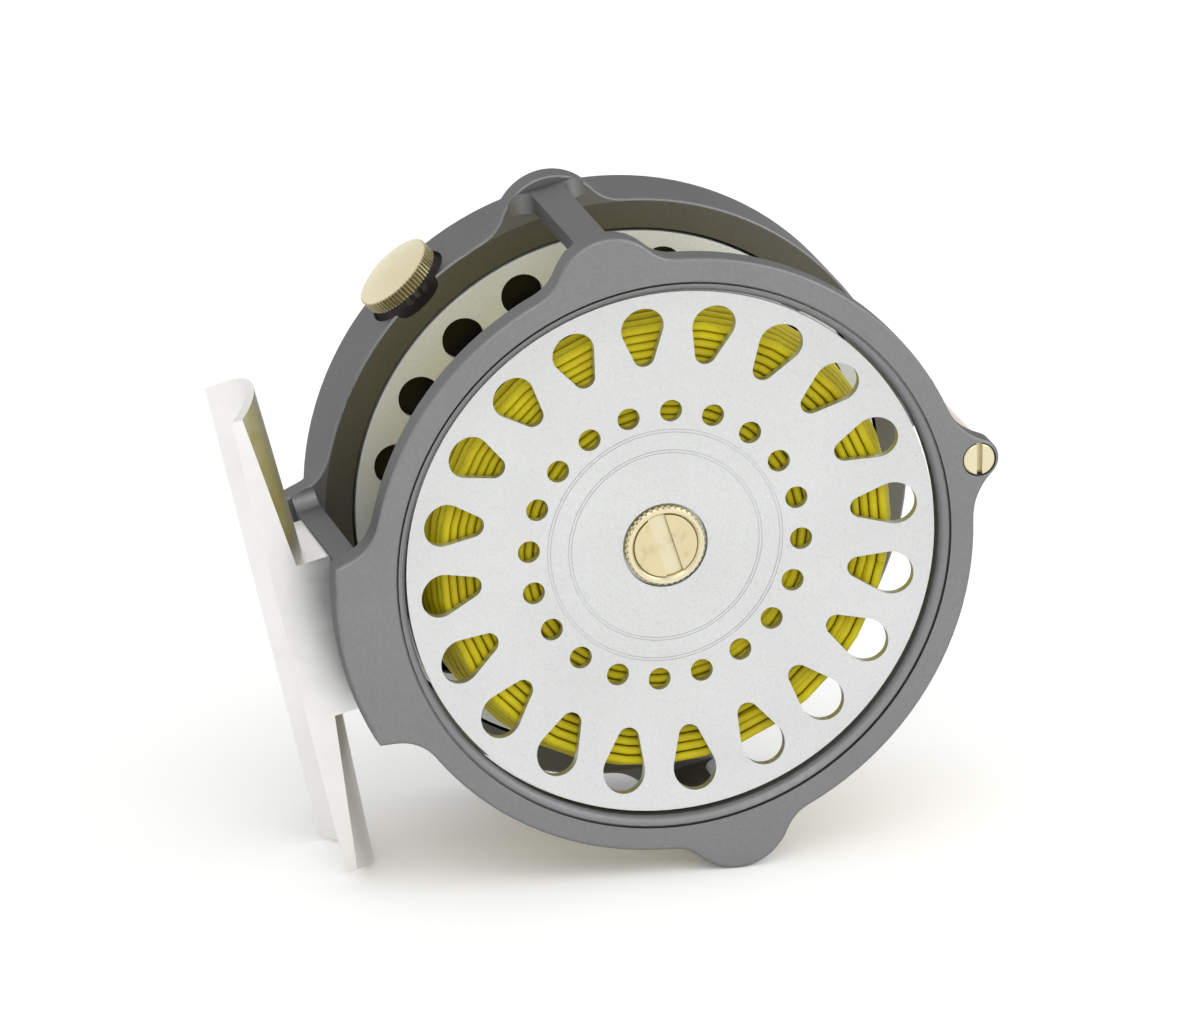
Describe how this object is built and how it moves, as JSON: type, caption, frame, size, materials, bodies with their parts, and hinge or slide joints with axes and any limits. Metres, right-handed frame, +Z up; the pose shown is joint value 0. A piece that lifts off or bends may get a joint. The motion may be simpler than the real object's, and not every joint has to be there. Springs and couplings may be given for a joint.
{
  "type": "fly reel",
  "caption": "Fly fishing reel with a one-piece grey cage, an inset perforated silver drum wound with yellow line, a brass check regulator and a saddle foot.",
  "frame": {"origin": "on the table, under the middle of the reel's box", "axes": "+Z up from the table, -Y towards the open side of the drum, +Y towards the handle side, +X towards the line guard roller"},
  "size_m": [0.0944, 0.0591, 0.0827],
  "materials": {
    "grey_anodised": "satin anodised",
    "satin_silver": "satin machined",
    "silver_flange": "bead blasted",
    "brass": "pale, lightly polished",
    "nickel_silver": "polished",
    "steel": "ground",
    "line_coating": "smooth coating",
    "backing_braid": "braided",
    "dark_horn": "polished"
  },
  "bodies": {
    "root": {"frame": "grey_anodised", "reel_foot": "satin_silver", "foot_screw": "steel", "foot_dowel": "steel", "roller_axle": "brass", "bearing_outer_race": "steel", "spindle_bush": "brass", "pawl_post": "steel", "slide_guides": "brass", "regulator_bush": "brass"},
    "spool": {"drum_front_flange": "silver_flange", "drum_rear_flange": "silver_flange", "drum_arbor": "satin_silver", "arbor_screws": "steel", "backing": "backing_braid", "fly_line": "line_coating", "spindle": "steel", "spindle_collar": "brass", "spindle_cap": "brass", "bearing_inner_race": "steel", "ratchet_wheel": "steel", "handle_plate": "grey_anodised", "plate_screw": "nickel_silver", "counterweight": "brass", "handle_post": "nickel_silver"},
    "winding_handle": {"handle": "dark_horn"},
    "line_roller": {"line_guard_roller": "nickel_silver"},
    "ball_set": {"bearing_balls": "steel", "bearing_retainer": "brass"},
    "pawl": {"check_pawl": "steel"},
    "regulator": {"regulator_knob": "brass", "regulator_stem": "steel"},
    "tension_slide": {"regulator_slide": "brass", "check_spring": "steel"}
  },
  "joints": [
    {"name": "spool_spin", "type": "hinge", "parent": "root", "child": "spool", "pos_m": [0.006, -0.0129, 0.04136], "axis": [0, -1, 0], "continuous": true},
    {"name": "handle_spin", "type": "hinge", "parent": "spool", "child": "winding_handle", "pos_m": [0.02409, 0.0191, 0.0234], "axis": [0, -1, 0], "continuous": true},
    {"name": "roller_spin", "type": "hinge", "parent": "root", "child": "line_roller", "pos_m": [0.04465, -0.0139, 0.05043], "axis": [0, -1, 0], "continuous": true},
    {"name": "ball_spin", "type": "hinge", "parent": "root", "child": "ball_set", "pos_m": [0.006, -0.00165, 0.04136], "axis": [0, -1, 0], "continuous": true},
    {"name": "pawl_lift", "type": "hinge", "parent": "root", "child": "pawl", "pos_m": [-0.00631, 0.0018, 0.04352], "axis": [0, -1, 0], "range_deg": [0, 12], "stiffness_Nm_per_rad": 0.02, "springref_deg": -11.46, "deforming": ["check_spring"]},
    {"name": "regulator_turn", "type": "hinge", "parent": "root", "child": "regulator", "pos_m": [-0.02001, 0.0018, 0.06907], "axis": [0.6845, 0, -0.729], "range_deg": [0, 720]},
    {"name": "tension_travel", "type": "slide", "parent": "root", "child": "tension_slide", "axis": [0.6845, 0, -0.729], "range_m": [0, 0.0014], "deforming": ["check_spring"]}
  ],
  "couplings": [
    {"joint": "regulator_turn", "follows": "tension_travel", "rad_per_m": 8976}
  ]
}
